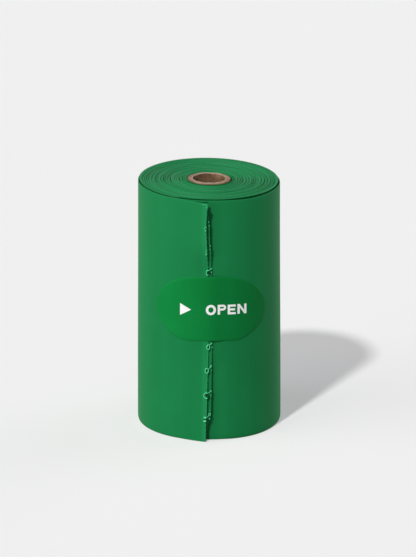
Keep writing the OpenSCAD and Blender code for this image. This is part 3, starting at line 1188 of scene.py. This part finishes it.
# Painted shade: the dark greens of the dishes inside the ties' curls.
SHADE_DISH_DARK, SHADE_DISH_GREEN = (0.0008, 0.028, 0.008, 1), (0.002, 0.055, 0.016, 1)
ROLLED_GREEN, ROLLED_PALE = (0.010, 0.26, 0.08, 1), (0.028, 0.38, 0.14, 1)
LABEL_GREEN, LABEL_LIGHT = (0.0034, 0.208, 0.040, 1), (0.0048, 0.228, 0.048, 1)
# The deep label green is painted shade towards the label's right.
LABEL_SHADE_DEEP = (0.0030, 0.170, 0.034, 1)
# The pure white of the ink is painted light towards its right.
INK_GREY, INK_PALE, INK_LIT_WHITE = (0.90, 0.91, 0.90, 1), (0.97, 0.97, 0.97, 1), (1.0, 1.0, 1.0, 1)
BOARD_BROWN, BOARD_PALE = (0.235, 0.130, 0.082, 1), (0.34, 0.205, 0.140, 1)
LINER_GREY, LINER_PALE = (0.30, 0.245, 0.185, 1), (0.41, 0.345, 0.275, 1)
# The darkest inside brown is partly painted shade in the tube's bore.
BORE_SHADE_DARK, INSIDE_BROWN = (0.095, 0.048, 0.021, 1), (0.26, 0.150, 0.078, 1)
FIBRE = (0.46, 0.34, 0.235, 1)

# Where fields of tone lie, in metres like the material's own place. All but the liner's blur are painted
# light and shade. A pair is where a field grows or fades: across is x, forward is -y, far is the distance
# from the axis.
PAINTED_LIGHT_UP = (0.025, 0.055)
EDGE_HIGHLIGHT_ACROSS = ((-0.0021, -0.0013), (-0.0004, 0.0))
EDGE_HIGHLIGHT_FORWARD = (0.0172, 0.0176)
TUBE_SHADE_FAR = (0.0060, 0.0066)
TUBE_SHADE_FORWARD = (0.0, 0.0035)
TAIL_SHADE_ACROSS = ((-0.0046, -0.0022), (-0.00034, -0.00026))
TAIL_SHADE_UP = ((0.0585, 0.0600), (0.06122, 0.06136))
TAIL_SHADE_FORWARD = (0.015, 0.016)
TAIL_SHADE_FAR = (0.01758, 0.01770)
LABEL_SHADE_ACROSS = (-0.010, 0.013)
INK_LIGHT_ACROSS = (-0.004, 0.003)
LINER_BLUR = 0.08


def bag_film():
    """Satin polyethylene: soft upright folds of tone on the side, finer lines between turns on the ends.
    Painted into its colour: light higher up the side, a sheen on the ends, a highlight beside the free edge,
    and shade beside the tube and behind the free end's top corner.
    """
    material, f = finish_named("bag_film")
    place = f.place()
    x, y, z = f.parts(place)
    on_end = f.facing_up(0.45, 0.8)
    clouds = f.noise(place, 90.0, 3.0)
    lanes = f.noise(f.stretch(place, (260, 260, 14)), 1.0, 3.0)
    far, forward = f.length(x, y), y * -1
    rings = f.noise(f.vector(far * 2600.0, x * 60.0, y * 60.0), 1.0, 3.0, 0.6)
    tone = (clouds * 0.5 + lanes * 0.5) * (1 - on_end) + rings * on_end
    colour = f.mix(tone.between(0.3, 0.7), FILM_DEEP, FILM_LIGHT)
    colour = f.mix(on_end * 0.5 + 0.5, FILM_GREEN, colour)
    # Painted light: the side is painted lighter towards its top.
    colour = f.mix(z.between(*PAINTED_LIGHT_UP) * 0.4, colour, FILM_LIGHT)
    # Painted sheen: the ends take whiter greens than the side, with rings of tone between turns.
    colour = f.mix(on_end, colour, f.mix(rings.between(0.36, 0.62), END_SHEEN_DEEP, END_SHEEN_LIGHT))
    # Painted highlight: a lighter strip on the free end just left of its torn edge.
    painted_edge_highlight = x.within(*EDGE_HIGHLIGHT_ACROSS) * forward.between(*EDGE_HIGHLIGHT_FORWARD)
    colour = f.mix(painted_edge_highlight * (1 - on_end) * 0.6, colour, EDGE_HIGHLIGHT_GREEN)
    # Painted shade: a dark ring on the film beside the tube, at the front.
    shade_beside_tube = (1 - far.between(*TUBE_SHADE_FAR)) * forward.between(*TUBE_SHADE_FORWARD) * 0.9
    # Painted shade: a dark wedge on the side just behind the free end's top corner.
    shade_under_tail = x.within(*TAIL_SHADE_ACROSS) * z.within(*TAIL_SHADE_UP)
    shade_under_tail = shade_under_tail * forward.between(*TAIL_SHADE_FORWARD) * (1 - far.between(*TAIL_SHADE_FAR))
    colour = f.mix(shade_beside_tube.most(shade_under_tail) * 0.85, colour, FILM_SHADE)
    grain = f.noise(place, 5200.0, 2.0)
    draw = f.noise(f.stretch(place, (1800, 1800, 90)), 1.0, 2.0)
    height = grain * 0.35 + draw * (1 - on_end) * 0.65 + rings * on_end
    rough = clouds * 0.10 + 0.46 + lanes * 0.06
    f.surface(Base_Color=colour, Roughness=rough, Normal=f.bump(height, 0.00002, 0.6), IOR=1.15)
    return material


def stretched_film():
    """Film that was drawn out as it tore: paler, and smoother than the rest."""
    material, f = finish_named("stretched_film")
    streaks = f.noise(f.stretch(f.place(), (3000, 3000, 900)), 1.0, 3.0)
    colour = f.mix(streaks.between(0.35, 0.7), TIE_GREEN, TIE_PALE)
    relief = f.bump(streaks, 0.00003, 0.5)
    f.surface(Base_Color=colour, Roughness=streaks * 0.12 + 0.24, Normal=relief, IOR=1.3)
    return material


def shaded_film():
    """Painted shade: a dark film for the dishes that stand in for the shade deep inside the ties' curls."""
    material, f = finish_named("shaded_film")
    grain = f.noise(f.place(), 3000.0, 2.0)
    colour = f.mix(grain, SHADE_DISH_DARK, SHADE_DISH_GREEN)
    f.surface(Base_Color=colour, Roughness=0.6, Normal=f.bump(grain, 0.00002, 0.4), IOR=1.2)
    return material


def edge_film():
    """Film along a torn or rolled edge, a little paler than the flat of it."""
    material, f = finish_named("edge_film")
    streaks = f.noise(f.stretch(f.place(), (900, 900, 2500)), 1.0, 3.0)
    colour = f.mix(streaks.between(0.35, 0.7), ROLLED_GREEN, ROLLED_PALE)
    relief = f.bump(streaks, 0.00002, 0.4)
    f.surface(Base_Color=colour, Roughness=streaks * 0.10 + 0.36, Normal=relief, IOR=1.22)
    return material


def label_film():
    """Printed film, brighter and smoother, with the faintest roller lines, and painted shade towards its
    right.
    """
    material, f = finish_named("label_film")
    place = f.place()
    clouds = f.noise(place, 130.0, 2.0)
    lines = f.noise(f.stretch(place, (120, 120, 3200)), 1.0, 2.0)
    colour = f.mix(clouds.between(0.3, 0.7), LABEL_GREEN, LABEL_LIGHT)
    # Painted shade: the label is painted darker towards its right, away from the light.
    colour = f.mix(f.parts(place)[0].between(*LABEL_SHADE_ACROSS), colour, LABEL_SHADE_DEEP)
    relief = f.bump(lines, 0.00001, 0.35)
    f.surface(Base_Color=colour, Roughness=clouds * 0.08 + 0.42, Normal=relief, IOR=1.13)
    return material


def print_ink():
    """White ink, a little uneven, and painted light towards the right."""
    material, f = finish_named("print_ink")
    place = f.place()
    cover = f.noise(place, 1800.0, 3.0)
    colour = f.mix(cover.between(0.25, 0.75), INK_GREY, INK_PALE)
    # Painted light: the ink is painted whiter towards the right, where it gets less light.
    colour = f.mix(f.parts(place)[0].between(*INK_LIGHT_ACROSS), colour, INK_LIT_WHITE)
    relief = f.bump(cover, 0.00001, 0.3)
    f.surface(Base_Color=colour, Roughness=cover * 0.1 + 0.4, Normal=relief, IOR=1.45)
    return material


def paperboard():
    """Brown board: pale liner ring on the cut ends, mottled brown inside and darker there, partly as painted
    shade, with long fibres.
    """
    material, f = finish_named("paperboard")
    place = f.place()
    x, y, _ = f.parts(place)
    far = f.length(x, y)
    in_liner = 1 - far.between((TUBE_JOINT - LINER_BLUR) * MM, (TUBE_JOINT + LINER_BLUR) * MM)
    fibres = f.noise(f.stretch(place, (900, 900, 1500)), 1.0, 5.0, 0.65)
    mottle = f.noise(place, 650.0, 4.0, 0.6)
    patches = mottle.between(0.3, 0.7)
    cut = f.mix(in_liner, f.mix(patches, BOARD_BROWN, BOARD_PALE), f.mix(patches, LINER_GREY, LINER_PALE))
    # The inside's darker brown is partly painted shade in the tube's bore.
    inside = f.mix(mottle.between(0.32, 0.68), BORE_SHADE_DARK, INSIDE_BROWN)
    colour = f.mix(f.facing_up(0.5, 0.8), inside, cut)
    colour = f.mix(fibres.between(0.55, 0.8) * 0.35, colour, FIBRE)
    relief = f.bump(fibres * 0.6 + mottle * 0.4, 0.00008, 0.7)
    f.surface(Base_Color=colour, Roughness=fibres * 0.15 + 0.78, Normal=relief, IOR=1.4)
    return material


# Studio

# The floor and the world as they are seen, and as they light the roll.
PAPER_WHITE = 0.8632
WORLD_FILL = 0.16
FLOOR_OWN = (0.323, 0.319, 0.333, 1)
FLOOR_ALBEDO = (0.559, 0.563, 0.548, 1)
FLOOR_BOUNCE = (0.40, 0.40, 0.40, 1)
FLOOR_HALF = 4.0

# The camera looks at LOOK_AT from CAMERA_AWAY, in metres. The picture is IMAGE_H pixels high.
IMAGE_H = 557
PIXELS_PER_MM = 4.045
CAMERA_AWAY = 1.2
CAMERA_TILT = 18.6
LOOK_AT = (-0.00030, 0.0, 0.03613)

# A lamp's direction round from the front, its height in degrees, its strength and how wide it looks.
LAMPS = {
    "key": (-28, 49, 0.80 * math.pi, 4.0),
    "left_soft": (-70, 18, 0.44 * math.pi, 60),
    "right_soft": (118, 7, 0.45 * math.pi, 50),
}


def seen_directly(f):
    """1 for what the camera sees straight, in a mirror or through glass, else 0."""
    paths = {out.socket.name: out for out in f.node("ShaderNodeLightPath")}
    return paths["Is Camera Ray"].most(paths["Is Glossy Ray"]).most(paths["Is Transmission Ray"])


def studio_floor():
    """A pale floor that keeps the roll's shadow."""
    material, f = finish_named("studio_floor")
    seen = seen_directly(f)
    lit = f.node("ShaderNodeBsdfDiffuse", {}, FLOOR_ALBEDO)[0]
    own = f.node("ShaderNodeEmission", {}, FLOOR_OWN, 1.0)[0]
    shown = f.node("ShaderNodeAddShader", {}, lit, own)[0]
    bounce = f.node("ShaderNodeBsdfDiffuse", {}, FLOOR_BOUNCE)[0]
    f.node("ShaderNodeOutputMaterial", {}, Surface=f.node("ShaderNodeMixShader", {}, seen, bounce, shown)[0])
    corners = [(FLOOR_HALF * x, FLOOR_HALF * y, 0) for x, y in ((-1, -1), (1, -1), (1, 1), (-1, 1))]
    mesh = bpy.data.meshes.new("studio_floor")
    mesh.from_pydata(corners, [], [(0, 1, 2, 3)])
    mesh.materials.append(material)
    floor = bpy.data.objects.new("studio_floor", mesh)
    bpy.context.scene.collection.objects.link(floor)


def studio_world():
    """White paper where the world is seen, a weak even fill where it lights."""
    world = bpy.data.worlds.new("studio")
    bpy.context.scene.world = world
    f = Finish(world)
    seen = seen_directly(f)
    strength = seen * (PAPER_WHITE - WORLD_FILL) + WORLD_FILL
    shade = f.node("ShaderNodeBackground", {}, (1, 1, 1, 1), strength)[0]
    f.node("ShaderNodeOutputWorld", {}, Surface=shade)


def lamp(name, azimuth, elevation, strength, size):
    """A far lamp. Azimuth is from the front, growing to the right. Size is how wide it looks, in degrees."""
    data = bpy.data.lights.new(name, "SUN")
    data.energy, data.angle = strength, math.radians(size)
    a, e = math.radians(azimuth), math.radians(elevation)
    direction = Vector((math.sin(a) * math.cos(e), -math.cos(a) * math.cos(e), math.sin(e)))
    made = bpy.data.objects.new(name, data)
    made.rotation_mode = "QUATERNION"
    made.rotation_quaternion = direction.to_track_quat("Z", "Y")
    made.location = direction
    bpy.context.scene.collection.objects.link(made)


def studio_camera():
    """A camera in front of the roll and above it, with the picture's long side upright."""
    data = bpy.data.cameras.new("camera")
    made = bpy.data.objects.new("camera", data)
    long_side_mm = IMAGE_H / PIXELS_PER_MM
    data.lens = data.sensor_width * CAMERA_AWAY / (long_side_mm * MM)
    data.clip_start, data.clip_end = 0.1, 30
    e = math.radians(CAMERA_TILT)
    back = Vector((0, -math.cos(e), math.sin(e)))
    made.location = Vector(LOOK_AT) + back * CAMERA_AWAY
    made.rotation_mode = "QUATERNION"
    made.rotation_quaternion = (-back).to_track_quat("-Z", "Y")
    bpy.context.scene.collection.objects.link(made)
    bpy.context.scene.camera = made


def dress():
    """Every piece on its body, with the node that it stands for and the slot of its finish."""
    film = bag_film()
    ties, curl_shades = torn_ties(stretched_film(), shaded_film())
    printed_film, ink, board = label_film(), print_ink(), paperboard()
    made = (
        (wound_turns(film), "bag_roll", "bag_film"),
        (outer_turn(film), "bag_roll", "bag_film"),
        (under_ply(film), "bag_roll", "bag_film"),
        (ties, "bag_roll", "bag_film"),
        # The dishes inside the ties' curls are painted shade.
        (curl_shades, "bag_roll", "bag_film"),
        (film_edges(edge_film()), "bag_roll", "bag_film"),
        (label_skin(printed_film), "label", "label_film"),
        (print_word(ink), "label", "label_film"),
        (print_arrow(ink), "label", "label_film"),
        (paperboard_tube(board), "core_tube", "paperboard"),
    )
    for piece, node, slot in made:
        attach(piece, "root")
        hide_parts(node)


dress()
studio_floor()
studio_world()
for name, settings in LAMPS.items():
    lamp(name, *settings)
studio_camera()
bpy.context.scene.view_settings.view_transform = "Standard"
